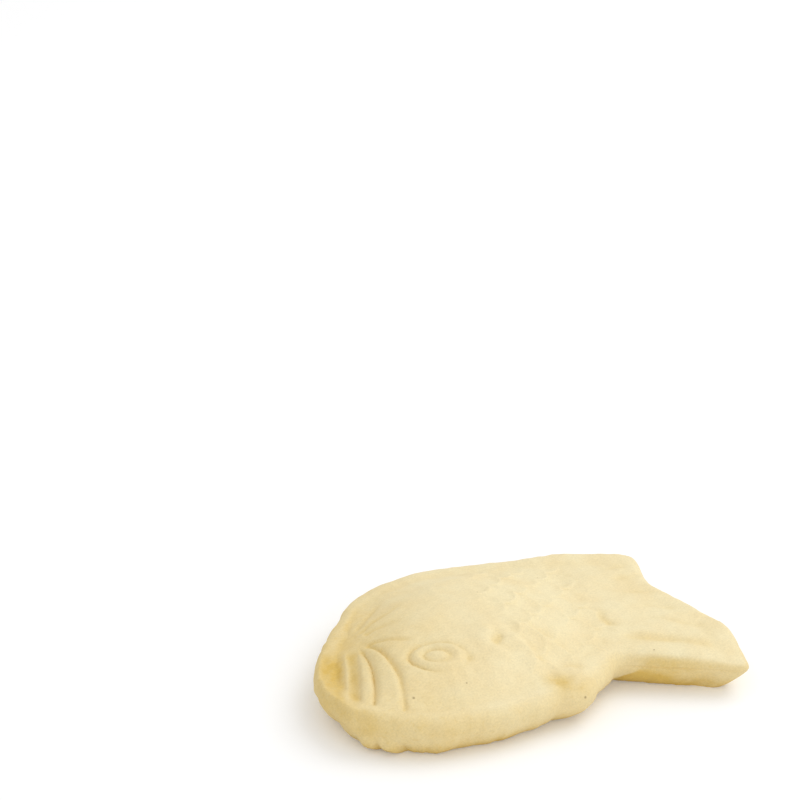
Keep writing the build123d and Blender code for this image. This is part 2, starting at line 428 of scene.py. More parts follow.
# Rays of the tail and flutes of the forehead: their lines, then what they share. The flutes end at the rim
TAIL_RAYS = (
    ((17.6, 9.3), (20.0, 9.4), (23.6, 9.2)),
    ((17.6, 6.2), (20.5, 6.2), (24.2, 6.2)),
    ((17.8, 2.9), (21.0, 1.9), (24.4, 0.5)),
    ((17.8, -0.6), (21.6, -2.6), (25.6, -4.8)),
    ((17.6, -3.9), (21.8, -6.9), (26.6, -10.2)),
)
RAY_CUT = (0.6, 0.13, (0.4, 0.3))
FLUTES = (
    ((-22.2, 5.4), (-19.9, 8.9), (-18.4, 10.9), (-16.9, 12.4)),
    ((-21.1, 4.2), (-18.6, 7.0), (-15.9, 9.6), (-14.2, 11.0)),
    ((-20.8, 3.1), (-18.4, 4.6), (-15.4, 5.3), (-12.8, 6.4)),
    ((-20.5, 2.2), (-18.1, 2.2), (-14.6, 0.9)),
)
FLUTE_CUT = (0.5, 0.26, (0.15, 0.5))
FLUTE_RIM = (1.0, 2.4)

# Edges of the gill plates: lines, lift, reach of the long rise, then half widths of the drop and of the dip after it
GILL_EDGES = (
    ((-4.4, -4.6), (-5.6, -6.4), (-6.6, -8.2), (-6.0, -9.7), (-4.9, -10.7), (-4.1, -12.2)),
    ((-3.8, -6.4), (-2.4, -8.1), (-1.7, -9.2), (-1.3, -10.6), (-0.9, -12.4), (-0.5, -13.8)),
    ((-1.5, -5.1), (-0.1, -6.1), (0.9, -7.3), (2.0, -8.4), (3.4, -10.0), (4.0, -11.7)),
)
LIP_LIFT = 0.27
LIP_REACH = 1.5
LIP_DROP = 0.75
DIP_HALF = 0.8
DIP_AWAY = 1.1
DIP_SHARE = 0.5
LIP_FADE = 0.2

# Lump at the tail's root
TAIL_LUMP = (13.7, -7.1)
LUMP_LIFT = 0.3
LUMP_RADIUS = 1.6

# Eye: middle, turn, half axes, mean half size for widths across its rings
EYE = np.array((-13.6, -9.0))
EYE_TURN = radians(-21.0)
EYE_LONG = 4.05
EYE_SHORT = 2.5
EYE_HALF = 3.0
# Directions from the middle in which the grooves are deeper, the front corner and the top, and how narrow the first is
EYE_FRONT = radians(205)
EYE_TOP = radians(75)
FRONT_POWER = 1.5
# Grooves round the eye and round the pupil: elliptic radius, cut all round, more at the front, more over the top, width
OUTER_GROOVE = (1.0, 0.1, 0.46, 0.16, 0.28)
INNER_GROOVE = (0.44, 0.2, 0.12, 0.18, 0.34)
# Raised ring between the grooves: elliptic radius, half width. The pupil: half width, shift to the front. Lift of both
RING_RADIUS = 0.72
RING_HALF = 0.5
PUPIL_HALF = 0.75
PUPIL_SHIFT = 0.25
EYE_LIFT = 0.26
# Dimple behind the eye's rear corner: cut, half length, half width, how far behind
DIMPLE = (0.16, 0.8, 0.5, 0.1)

# Scales: lattice, disc, lift of the free edge and the level that counts as even
SCALE_ORIGIN = np.array((-0.5, -9.0))
SCALE_PITCH = 5.6
SCALE_ROW = 2.8
SCALE_RADIUS = 2.9
SCALE_LIFT = 0.8
SCALE_LEVEL = 0.6
# Width of a scale's free edge and the fade of its covered side, as shares of its radius
SCALE_EDGE = 0.2
SCALE_COVERED = (-0.8, -0.4)
# Where the scales begin and end along x, and how deep inside the outline
SCALES_FROM = (-4.5, -1.5)
SCALES_TO = (11.0, 14.5)
SCALES_DEPTH = (3.2, 5.5)
# Uneven wear: its share, and two sines as wave numbers along x and y (radians per mm) and phase
WEAR = 0.3
WEAR_WAVES = ((0.42, 0.3, 0.6), (-0.2, 0.33, 1.9))

# Hollow line that follows the rim, and its deeper stretch on the face: depth inside the outline, half width, cut
RIM_LINE = (3.8, 1.1, 0.08)
FACE_RIM_LINE = (2.9, 0.6, 0.16)
FACE_RIM_END = (-24.0, -14.0)

# Unevenness of the hand pressing: least and greatest wave number (radians per mm), height, number of waves
HANDWORK = ((0.5, 1.1, 0.03, 10), (2.2, 4.5, 0.0075, 18))
HANDWORK_SEED = 7

# Painted shade in the marks, from 0 to 1: valley, floor of the snout's hollow, fin, and any cut that has its full depth
VALLEY_SHADE = 0.22
HOLLOW_SHADE = 0.14
HOLLOW_SHADE_START = (0.0, 1.0)
FIN_SHADE = 0.42
CUT_SHADE = 0.3
FULL_CUT = 0.5
# More painted shade round the deepest place of the snout's hollow
DEEP_SHADE = 0.08
DEEP_PLACE = (-26.3, -4.2)
DEEP_RADIUS = 4.2
# Warm patches on the fin and on the snout: x, y, radius, toast
WARM_PATCHES = ((3.6, -18.2, 2.8, 0.24), (-25.0, 1.0, 7.0, 0.17))


def between(reach, angle, low, high):
    """Share of the way from one line of the fan to another, by the angle round the pivot, and the width there."""
    first = np.radians(np.interp(reach, FAN_REACH, low))
    last = np.radians(np.interp(reach, FAN_REACH, high))
    return (angle - first) / (last - first), np.abs(last - first) * reach


def crease_gap(reach, angle, crease):
    """Distance across to a line of the fan, positive on the side of the eye: the angle between, times the reach."""
    return (angle - np.radians(np.interp(reach, FAN_REACH, crease))) * reach


def petals(reach, angle):
    """Two petals, the creases beside them and the cheek behind.

    A petal is a plate with rounded sides, 1 - |2t - 1|^4 between its two edges, and lower where it is narrow. A crease
    is a Gaussian across. The cheek rises at once behind the last crease and dies away exponentially.
    """
    swell = np.zeros_like(reach)
    for low, high, lift in PETALS:
        t, width = between(reach, angle, low, high)
        swell += lift * (1 - np.abs(2 * np.clip(t, 0, 1) - 1) ** 4) * np.minimum(width / PETAL_WIDTH, WIDEST_PETAL)
    shallower = 1 - CREASE_FADE * soft_step(reach, *CREASE_FADE_REACH)
    for line, half, cut in CREASES:
        swell -= cut * shallower * hump(crease_gap(reach, angle, line), half)
    past = crease_gap(reach, angle, CHEEK_CREASE)
    return swell + CHEEK_LIFT * np.exp(-np.maximum(past, 0) / CHEEK_SPREAD) * soft_step(past, *CHEEK_START)


def petal_fan(x, y, depth):
    """Fan under the snout, radiating from the pivot: petals, valley, thin ridge and scooped hollow. Also the painted
    shade in valley and hollow.

    The valley sinks as a power of sin(pi t) between its edges, the ridge is a Gaussian across, and the hollow has a
    level floor from the ridge out to the rim, with cosine folds near the pivot. All fade at the pivot and at the rim.
    """
    reach = away_from(x, y, PIVOT)
    angle = np.arctan2(y - PIVOT[1], x - PIVOT[0])
    angle = np.where(angle > LAST_ANGLE, angle - 2 * pi, angle)
    start = soft_step(reach, *FAN_START)
    plates = petals(reach, angle) * start * soft_step(depth, *PETAL_RIM)
    t, _ = between(reach, angle, FRONT_RIDGE, PETAL_EDGE)
    valley = np.sin(pi * np.clip(t, 0, 1)) ** VALLEY_POWER * start * soft_step(depth, *VALLEY_RIM)
    past = crease_gap(reach, angle, FRONT_RIDGE)
    ridge = RIDGE_LIFT * hump(past, RIDGE_HALF) * start * soft_step(depth, *RIDGE_RIM)
    floor = soft_step(depth, *SCOOP_RIM) * soft_step(reach, *SCOOP_REACH) * soft_step(angle, *SCOOP_ANGLE)
    scoop = soft_step(-past, *SCOOP_START) * floor
    folds = FOLD_HEIGHT * np.cos(angle * FOLDS_ROUND) * scoop * (1 - soft_step(reach, *FOLD_END))
    deep = hump(away_from(x, y, DEEP_PLACE), DEEP_RADIUS)
    # Painted shade: the hollow's floor, its deepest place and the valley are coloured darker
    toast_and_shade = soft_step(-past, *HOLLOW_SHADE_START) * floor * (HOLLOW_SHADE + DEEP_SHADE * deep) + VALLEY_SHADE * valley
    return plates - VALLEY_CUT * valley + ridge - SCOOP_CUT * scoop + folds, toast_and_shade


def groove(x, y, line, half_width, cut, taper):
    """A cut along a line: a Gaussian across it, fading in and out along its length."""
    gap, _, along = stroke(x, y, line)
    ends = soft_step(along, 0, taper[0]) * (1 - soft_step(along, 1 - taper[1], 1))
    return -cut * hump(gap, half_width) * ends


def lip(x, y, line):
    """Free edge of a plate along a line: a long Gaussian rise on its right, and on its left a quick drop into a dip."""
    gap, side, along = stroke(x, y, line)
    ends = soft_step(along, 0, LIP_FADE) * (1 - soft_step(along, 1 - LIP_FADE, 1))
    drop = hump(gap, LIP_DROP) - DIP_SHARE * hump(gap - DIP_AWAY, DIP_HALF)
    return LIP_LIFT * np.where(side > 0, drop, hump(gap, LIP_REACH)) * ends


def eye(x, y):
    """Eye: in elliptic radii, a raised ring between an outer and an inner groove, round a raised pupil.

    Ring and pupil are Gaussians, the grooves fall off exponentially to both sides. They are deeper at the front corner
    and over the top, and shallow under the eye.
    """
    dx, dy = x - EYE[0], y - EYE[1]
    along = dx * np.cos(EYE_TURN) + dy * np.sin(EYE_TURN)
    across = dy * np.cos(EYE_TURN) - dx * np.sin(EYE_TURN)
    rho = np.hypot(along / EYE_LONG, across / EYE_SHORT)
    core = np.hypot((along + PUPIL_SHIFT) / EYE_LONG, across / EYE_SHORT)
    turn = np.arctan2(across / EYE_SHORT, along / EYE_LONG)
    front = np.maximum(np.cos(turn - EYE_FRONT), 0) ** FRONT_POWER
    over = np.maximum(np.cos(turn - EYE_TOP), 0)
    z = EYE_LIFT * (hump((rho - RING_RADIUS) * EYE_HALF, RING_HALF) + hump(core * EYE_HALF, PUPIL_HALF))
    for out, (radius, cut, at_front, at_top, width) in ((rho, OUTER_GROOVE), (core, INNER_GROOVE)):
        z = z - (cut + at_front * front + at_top * over) * np.exp(-np.abs(out - radius) * EYE_HALF / width)
    cut, half_length, half_width, behind = DIMPLE
    return z - cut * hump(along - EYE_LONG - behind, half_length) * hump(across, half_width)


def scales(x, y, depth):
    """Overlapping scales: discs on a staggered lattice, each rising as the cube of the radius to its free edge.

    Discs are laid from the tail to the head, each over those behind it, so that only its free edge, at the tail's
    side, is left to show. Two crossed sines wear them down unevenly.
    """
    cover = np.zeros_like(x)
    row = np.floor((y - SCALE_ORIGIN[1]) / SCALE_ROW)
    for ahead in (2, 1, 0, -1):
        for step in (-1, 0, 1, 2):
            r = row + step
            shift = SCALE_ORIGIN[0] + SCALE_PITCH / 2 * np.mod(r, 2)
            column = np.floor((x - shift) / SCALE_PITCH) + ahead
            cx = shift + column * SCALE_PITCH
            cy = SCALE_ORIGIN[1] + r * SCALE_ROW
            rho = away_from(x, y, (cx, cy)) / SCALE_RADIUS
            on = soft_step(1.0 - rho, 0.0, SCALE_EDGE) * soft_step((x - cx) / SCALE_RADIUS, *SCALE_COVERED)
            cover = cover * (1 - on) + on * rho ** 3
    place = soft_step(x, *SCALES_FROM) * (1 - soft_step(x, *SCALES_TO)) * soft_step(depth, *SCALES_DEPTH)
    worn = 1 - WEAR + WEAR * np.prod([np.sin(a * x + b * y + phase) for a, b, phase in WEAR_WAVES], axis=0)
    return SCALE_LIFT * (cover - SCALE_LEVEL) * place * worn


def handwork(x, y):
    """Unevenness of a hand-pressed piece: plane waves 6 to 13 mm long and lower ones of 1 to 3 mm, with set phases."""
    draw = np.random.default_rng(HANDWORK_SEED)
    swell = np.zeros_like(x)
    for low, high, height, count in HANDWORK:
        turn = draw.uniform(0, 2 * pi, count)
        wave = draw.uniform(low, high, count)
        phase = draw.uniform(0, 2 * pi, count)
        for k in range(count):
            swell = swell + height * np.sin(wave[k] * (x * np.cos(turn[k]) + y * np.sin(turn[k])) + phase[k])
    return swell


def relief(x, y, depth):
    """All the marks of the pressing, with painted shade in the fan, the fin and the cuts, and toast in warm patches."""
    fan, toast_and_shade = petal_fan(x, y, depth)
    fin = groove(x, y, *FIN_HOLLOW)
    z = fan + eye(x, y) + fin
    for mark in (BROW_GROOVE, GILL_NOTCH, TAIL_DENT, TAIL_GROOVE, FIN_RIDGE, FIN_LINE):
        z = z + groove(x, y, *mark)
    for line in TAIL_RAYS:
        z = z + groove(x, y, line, *RAY_CUT)
    for line in FLUTES:
        z = z + groove(x, y, line, *FLUTE_CUT) * soft_step(depth, *FLUTE_RIM)
    for line in GILL_EDGES:
        z = z + lip(x, y, line)
    z = z + LUMP_LIFT * hump(away_from(x, y, TAIL_LUMP), LUMP_RADIUS)
    face = 1 - soft_step(x, *FACE_RIM_END)
    for (at, half, cut), share in ((RIM_LINE, 1.0), (FACE_RIM_LINE, face)):
        z = z - cut * share * hump(depth - at, half)
    # Painted shade: the fin's hollow and every cut are coloured darker the deeper they go
    toast_and_shade = toast_and_shade + FIN_SHADE * np.clip(-fin / FIN_CUT, 0, 1) + CUT_SHADE * np.clip(-z / FULL_CUT, 0, 1)
    for patch_x, patch_y, radius, share in WARM_PATCHES:
        toast_and_shade = toast_and_shade + share * hump(away_from(x, y, (patch_x, patch_y)), radius)
    return z + scales(x, y, depth), toast_and_shade


# The upper half's height, and the painted shade at its edge

# The marks fade in over this depth inside the outline
MARKS_RIM = (0.0, 1.2)
# Painted shade of the face, of the seam all round, and more of it on the face, at the snout, on the near side and at
# the tail
FACE_SHADE = 0.24
SEAM_SHADE = 0.12
FACE_SEAM_SHADE = 0.16
SNOUT_SEAM_SHADE = 0.2
NEAR_SEAM_SHADE = 0.12
TAIL_SEAM_SHADE = 0.36
# Where these begin or end along x or y, and the share that the tail's loses towards the tip
FACE_END = (-21.0, -3.0)
SNOUT_END = (-29.0, -20.0)
NEAR_END = (-12.0, -2.0)
TAIL_START = (12.5, 16.5)
TAIL_TIP = (17.0, 26.0)
TIP_PALING = 0.7
# Depth over which the seam's painted shade gives way to the marks' own, on the body, and how much less on the tail
SEAM_SHADE_DEPTH = 2.0
TAIL_SEAM_SHADE_LESS = 1.2


def dome(x, swell_depth):
    """Swell of the body: a saturating rise from the rim, 1 - exp(-(depth / spread)^power), full over the body and let
    down to a small share of itself over the tail."""
    rise = 1 - np.exp(-(np.maximum(swell_depth - DOME_FROM, 0) / DOME_SPREAD) ** DOME_POWER)
    return DOME_RISE * rise * (1 - (1 - TAIL_SHARE) * soft_step(x, *DOME_END))


def rim(x, depth):
    """Rounded rim: a quarter ellipse up from the land, level beyond its reach, which is shorter at snout and tail."""
    snout = 1 - soft_step(x, *SNOUT_RIM)
    tail = soft_step(x, *TAIL_RIM)
    reach = RIM_REACH - (RIM_REACH - SNOUT_RIM_REACH) * snout - (RIM_REACH - TAIL_RIM_REACH) * tail
    t = np.clip(1 - depth / reach, 0, 1)
    return RIM_RISE * np.sqrt(1 - t ** 2)


def plain_height(x, y):
    """The upper half before its relief: land, rim and dome. Also gives the depth inside the outline.

    Close to the outline the depth is exact; further in it goes over to the creaseless one.
    """
    coarse = seam_fine[::COARSE_STEP]
    exact = depth_inside(x, y, seam_fine)
    depth = exact + (soft_depth(x, y, coarse, RIM_BLEND) - exact) * soft_step(exact, *EXACT_TO_SOFT)
    swell_depth = soft_depth(x, y, coarse, DOME_BLEND)
    fall = BACK_FALL * soft_step(y, *BACK_FALL_Y) * soft_step(depth, *BACK_FALL_DEPTH)
    thin = TIP_THINNING * hump(away_from(x, y, corner_xy[LOWER_LOBE]), TIP_RADIUS)
    return SEAM + LAND + rim(x, depth) * (1 - thin) - fall + dome(x, swell_depth), depth


def seam_shade(x, y):
    """Painted shade at the seam: more on face, snout and near side, most at the tail's near root."""
    near = 1 - soft_step(y, *NEAR_END)
    face = 1 - soft_step(x, *FACE_END)
    snout = 1 - soft_step(x, *SNOUT_END)
    tail = soft_step(x, *TAIL_START) * (1 - TIP_PALING * soft_step(x, *TAIL_TIP))
    body = SEAM_SHADE + FACE_SEAM_SHADE * face + SNOUT_SEAM_SHADE * snout
    return body + NEAR_SEAM_SHADE * near + TAIL_SEAM_SHADE * tail * near


def pressed_height(x, y):
    """Height of the upper half with relief, its painted shade and toast: the seam's at the edge, the marks' own further
    in.
    """
    z, depth = plain_height(x, y)
    marks, toast_and_shade = relief(x, y, depth)
    inside = soft_step(depth, *MARKS_RIM)
    z = z + (marks + handwork(x, y)) * inside
    # Painted shade: the face and the seam's edge are coloured darker
    face = FACE_SHADE * (1 - soft_step(x, *FACE_END))
    edge = 1 - soft_step(depth, 0.0, SEAM_SHADE_DEPTH - TAIL_SEAM_SHADE_LESS * soft_step(x, *TAIL_RIM))
    return z, np.clip(toast_and_shade * inside + face + (seam_shade(x, y) - face) * edge, 0, 1)


# The wall of the lower half

# Its way in to the base: shares of an early and a late curve, and power of the first
EARLY_SHARE = 0.55
EARLY_POWER = 1.6
# How nearly straight it is towards the tail's tip and at the snout, and where along x
TIP_STRAIGHT = 0.8
TIP_WALL = (18.0, 25.0)
SNOUT_STRAIGHT = 0.45
SNOUT_WALL = (-29.5, -26.0)
# Ribs under the chin: x and y at the base, half width, how far they stand out. Where they grow and turn under
CHIN_RIBS = ((-24.0, -13.2, 1.6, 0.95), (-21.7, -15.0, 1.6, 1.05))
RIB_POWER = 0.8
RIB_GROWTH = (0.15, 0.72)
RIB_TURN = 0.72
RIB_UNDER = 0.36
# Swells beside the ribs, and clefts between them, given in the same way and with a negative stand
CHIN_PADS = ((-18.6, -16.8, 2.2, 0.35), (-25.9, -9.8, 1.5, 0.4))
PAD_GROWTH = (0.1, 0.8)
CHIN_CLEFTS = ((-25.3, -11.7, 0.55, -0.25), (-22.9, -14.15, 0.55, -0.15), (-20.4, -15.85, 0.5, -0.45))
CLEFT_GROWTH = (0.2, 0.7)
# Handwork on the wall: closer waves, from another place, somewhat higher, from under the seam on
WALL_WAVES = 1.3
WALL_SHIFT = 3.0
WALL_HANDWORK = 1.2
WALL_HANDWORK_START = (0.05, 0.4)
# Parting line: cut all round and along the tail's near side, bevel and its fading, where the tail's stretch lies
SEAM_NICK = 0.01
TAIL_SEAM_NICK = 0.16
SEAM_BEVEL = 0.16
BEVEL_FADE = 1.5
NICK_START = (10.5, 14.0)
NICK_SIDE = (-9.0, -5.0)
NICK_TIP = (24.0, 29.0)
NICK_TIP_LESS = 0.6
# Foot value of the wall's painted shade: at the seam, growth to the base, loss at the tail's tip, gain under the tail
FOOT_SHADE = 0.14
FOOT_SHADE_GROWTH = 0.68
TIP_FOOT_LESS = 0.4
UNDER_TAIL_SHADE = 0.22
UNDER_TAIL = (10.0, 12.0)
UNDER_TAIL_SIDE = (-9.0, -4.0)
# Painted shadow in a wedge at the tail's root: its strength, where it ends along x, how low it starts beside the notch
# and up to where
WEDGE_SHADOW = 0.26
WEDGE_END = (13.0, 20.0)
WEDGE_START = 0.75
WEDGE_RISE = (10.5, 13.5)
# Share of the wall over which the seam's painted shade goes over to the foot's, and how much less in the wedge
SHADE_STEP = 0.8
WEDGE_STEP_LESS = 0.65
# Toast of the underside
UNDERSIDE_TOAST = 0.5


def seam_nick():
    """How far the parting line is cut in, column by column: a hair all round, plain along the tail's near side."""
    x, y = seam_line.T
    tail = soft_step(x, *NICK_START) * (1 - soft_step(y, *NICK_SIDE)) * (1 - NICK_TIP_LESS * soft_step(x, *NICK_TIP))
    return SEAM_NICK + (TAIL_SEAM_NICK - SEAM_NICK) * tail


def wall_stand(k):
    """How far the wall stands out from its plain form at shares k down from the seam, column by column.

    A rib is a toe along the base line, (1 - (gap / half)^2)^power across, growing down the wall and rounded under as a
    quarter ellipse. Swells and clefts are Gaussians that grow down the wall, and handwork makes it uneven.
    """
    x, y = base_line.T
    stand = np.zeros((len(k), COLUMNS))
    under = np.sqrt(1 - (np.maximum(k - RIB_TURN, 0) / RIB_UNDER) ** 2)
    for cx, cy, half, height in CHIN_RIBS:
        across = np.clip(1 - (away_from(x, y, (cx, cy)) / half) ** 2, 0, 1) ** RIB_POWER
        stand += height * across * soft_step(k, *RIB_GROWTH) * under
    for swells, growth in ((CHIN_CLEFTS, CLEFT_GROWTH), (CHIN_PADS, PAD_GROWTH)):
        for cx, cy, half, height in swells:
            stand += height * hump(away_from(x, y, (cx, cy)), half) * soft_step(k, *growth)
    uneven = handwork(seam_line[:, 0] * WALL_WAVES + WALL_SHIFT, seam_line[:, 1] * WALL_WAVES) * WALL_HANDWORK
    return stand + uneven * soft_step(k, *WALL_HANDWORK_START)


def wall_shade(k):
    """Painted shade on the wall at shares k down from the seam, column by column.

    By a soft step the seam's painted shade goes over to a foot value that grows evenly down the wall. Under the tail
    that value is higher, and in the painted shadow of the wedge at the tail's root highest, with a shorter step that
    starts lower beside the notch.
    """
    x, y = base_line.T
    under_tail = soft_step(x, *UNDER_TAIL) * (1 - soft_step(y, *UNDER_TAIL_SIDE))
    wedge = under_tail * (1 - soft_step(x, *WEDGE_END))
    # Painted shade: darker down the wall, under the tail and in the wedge at its root
    foot = (FOOT_SHADE + FOOT_SHADE_GROWTH * k) * (1 - TIP_FOOT_LESS * soft_step(x, *TAIL_TIP))
    foot = foot + UNDER_TAIL_SHADE * under_tail + WEDGE_SHADOW * wedge
    start = WEDGE_START * wedge * (1 - soft_step(x, *WEDGE_RISE))
    end = start + SHADE_STEP - WEDGE_STEP_LESS * wedge
    return foot + (seam_shade(*seam_line.T) - foot) * (1 - soft_step(k, start, end))


def wall_points():
    """Wall of the lower half, in rows from the seam down to the base, and its painted shade.

    A share k down from the seam it has moved in by a k^p + (1 - a) (1 - sqrt(1 - k^2)) of its draw-in, and more nearly
    by k, as a straight wall, at the snout and towards the tail's tip. The parting line's bevel dies away
    exponentially.
    """
    k = np.sin(np.linspace(0, pi / 2, WALL_ROWS))[:, None]
    x = seam_line[:, 0]
    straight = TIP_STRAIGHT * soft_step(x, *TIP_WALL) + SNOUT_STRAIGHT * (1 - soft_step(x, *SNOUT_WALL))
    curved = EARLY_SHARE * k ** EARLY_POWER + (1 - EARLY_SHARE) * (1 - np.sqrt(1 - k ** 2))
    moved = curved + (k - curved) * straight
    bevel = seam_nick() * np.exp(-k * SEAM / SEAM_BEVEL * BEVEL_FADE)
    wall = seam_line + moved[..., None] * (base_line - seam_line)
    wall = wall + (wall_stand(k) - bevel)[..., None] * outward(base_line)
    z = np.repeat(SEAM * (1 - k), COLUMNS, 1)
    return np.concatenate([wall, z[..., None]], 2), wall_shade(k)


# The two pieces

CREASE_ANGLE = radians(50)


def make_piece(name, points, quads, cap, toast_and_shade, finish):
    """A mesh piece from points in mm, its quads, the ring that closes it and a value of painted shade and toast per
    point.
    """
    mesh = bpy.data.meshes.new(name)
    mesh.from_pydata((points * MM).tolist(), [], quads.tolist() + [cap.tolist()])
    shade = mesh.attributes.new("toast_and_shade", "FLOAT", "POINT")
    shade.data.foreach_set("value", toast_and_shade.astype(np.float32))
    mesh.polygons.foreach_set("use_smooth", np.ones(len(mesh.polygons), bool))
    mesh.set_sharp_from_angle(angle=CREASE_ANGLE)
    mesh.validate()
    mesh.materials.append(finish)
    piece = bpy.data.objects.new(name, mesh)
    bpy.context.collection.objects.link(piece)
    return piece


def upper_half(finish):
    """Upper half: rings from the seam over the land and round the rim to the band, then the filled grid inside it.

    Ring shares from outline to band grow as 1 - cos, so that the rounding's heights come at even steps.
    """
    share = 1 - np.cos(np.linspace(0, pi / 2, RIM_ROWS + 1))[:-1]
    rings = seam_line + share[:, None, None] * (band_line - seam_line)
    x, y = np.vstack([rings.reshape(-1, 2), filled(band_line).reshape(-1, 2)]).T
    z, toast_and_shade = pressed_height(x, y)
    foot_xy = seam_line - seam_nick()[:, None] * outward(seam_line)
    foot = np.concatenate([foot_xy, np.full((COLUMNS, 1), SEAM)], 1)
    points = np.vstack([np.stack([x, y, z], 1), foot])
    toast_and_shade = np.concatenate([toast_and_shade, toast_and_shade[:COLUMNS]])
    grid_from = RIM_ROWS * COLUMNS
    rows = np.arange(grid_from).reshape(RIM_ROWS, COLUMNS)
    foot_ring = len(x) + np.arange(COLUMNS)
    chain = [foot_ring, *rows, grid_from + ring_numbers()]
    strips = [strip_faces(a, b) for a, b in zip(chain[:-1], chain[1:])]
    quads = np.vstack(strips + [grid_from + grid_faces()])
    return make_piece("pressed_top", points, quads, foot_ring[::-1], toast_and_shade, finish)


def lower_half(finish):
    """Lower half: the wall from the seam in to the base, then the level underside, filled from the wall's last row."""
    wall, toast_and_shade = wall_points()
    under = filled(wall[-1, :, :2]).reshape(-1, 2)
    under = np.concatenate([under, np.zeros((len(under), 1))], 1)
    points = np.vstack([wall[:-1].reshape(-1, 3), under])
    toast_and_shade = np.concatenate([toast_and_shade[:-1].ravel(), np.full(len(under), UNDERSIDE_TOAST)])
    grid_from = (WALL_ROWS - 1) * COLUMNS
    rows = np.arange(grid_from).reshape(WALL_ROWS - 1, COLUMNS)
    chain = [*rows, grid_from + ring_numbers()]
    strips = [strip_faces(b, a) for a, b in zip(chain[:-1], chain[1:])]
    quads = np.vstack(strips + [grid_from + grid_faces()[:, ::-1]])
    return make_piece("drafted_base", points, quads, rows[0], toast_and_shade, finish)


# Finish

CREAM = (0.875, 0.765, 0.485)
PEACH = (0.850, 0.690, 0.390)
# Tan of the painted shade, which the toast and the grit also take
TOAST_AND_SHADE_TAN = (0.705, 0.490, 0.135)
SPECK = (0.20, 0.12, 0.05)
# Noises over the fish: scale (per metre), detail, roughness
MOTTLE = (170.0, 3.0, 0.55)
CLOUD = (420.0, 3.0, 0.6)
GRAIN = (3600.0, 4.0, 0.7)
GRIT = (1700.0, 2.0, 0.5)
SAND_SCALE = 2600.0
# Stretch of a noise that counts, and what it turns into: share of peach, gain of the painted shade and toast, light,
# roughness, share of grit
MOTTLE_STRETCH = (0.36, 0.64)
MOTTLE_PEACH = (0.0, 0.55)
CLOUD_STRETCH = (0.3, 0.7)
CLOUD_GAIN = (0.95, 1.35)
GRAIN_STRETCH = (0.3, 0.7)
GRAIN_LIGHT = (0.82, 1.12)
GRAIN_ROUGHNESS = (0.78, 0.95)
GRIT_STRETCH = (0.58, 0.70)
GRIT_SHARE = (0.0, 0.5)
# Share of the grain's light and dark, share of the sand in the bumps, the bumps' strength and height, gloss
GRAIN_SHARE = 0.5
SAND_SHARE = 0.5
BUMP_STRENGTH = 0.35
BUMP_HEIGHT = 0.12
GLOSS = 0.2
# Dark specks: x, y, radius. How dark they are, and the shares of the radius over which they fade
SPECKS = (
    (-19.0, -13.9, 0.19), (-11.5, -14.0, 0.13), (3.75, -18.72, 0.19),
    (16.5, -13.0, 0.12), (-3.2, 3.1, 0.1), (8.6, 9.4, 0.1),
)
SPECK_SHARE = 0.6
SPECK_FADE = (0.4, 1.3)


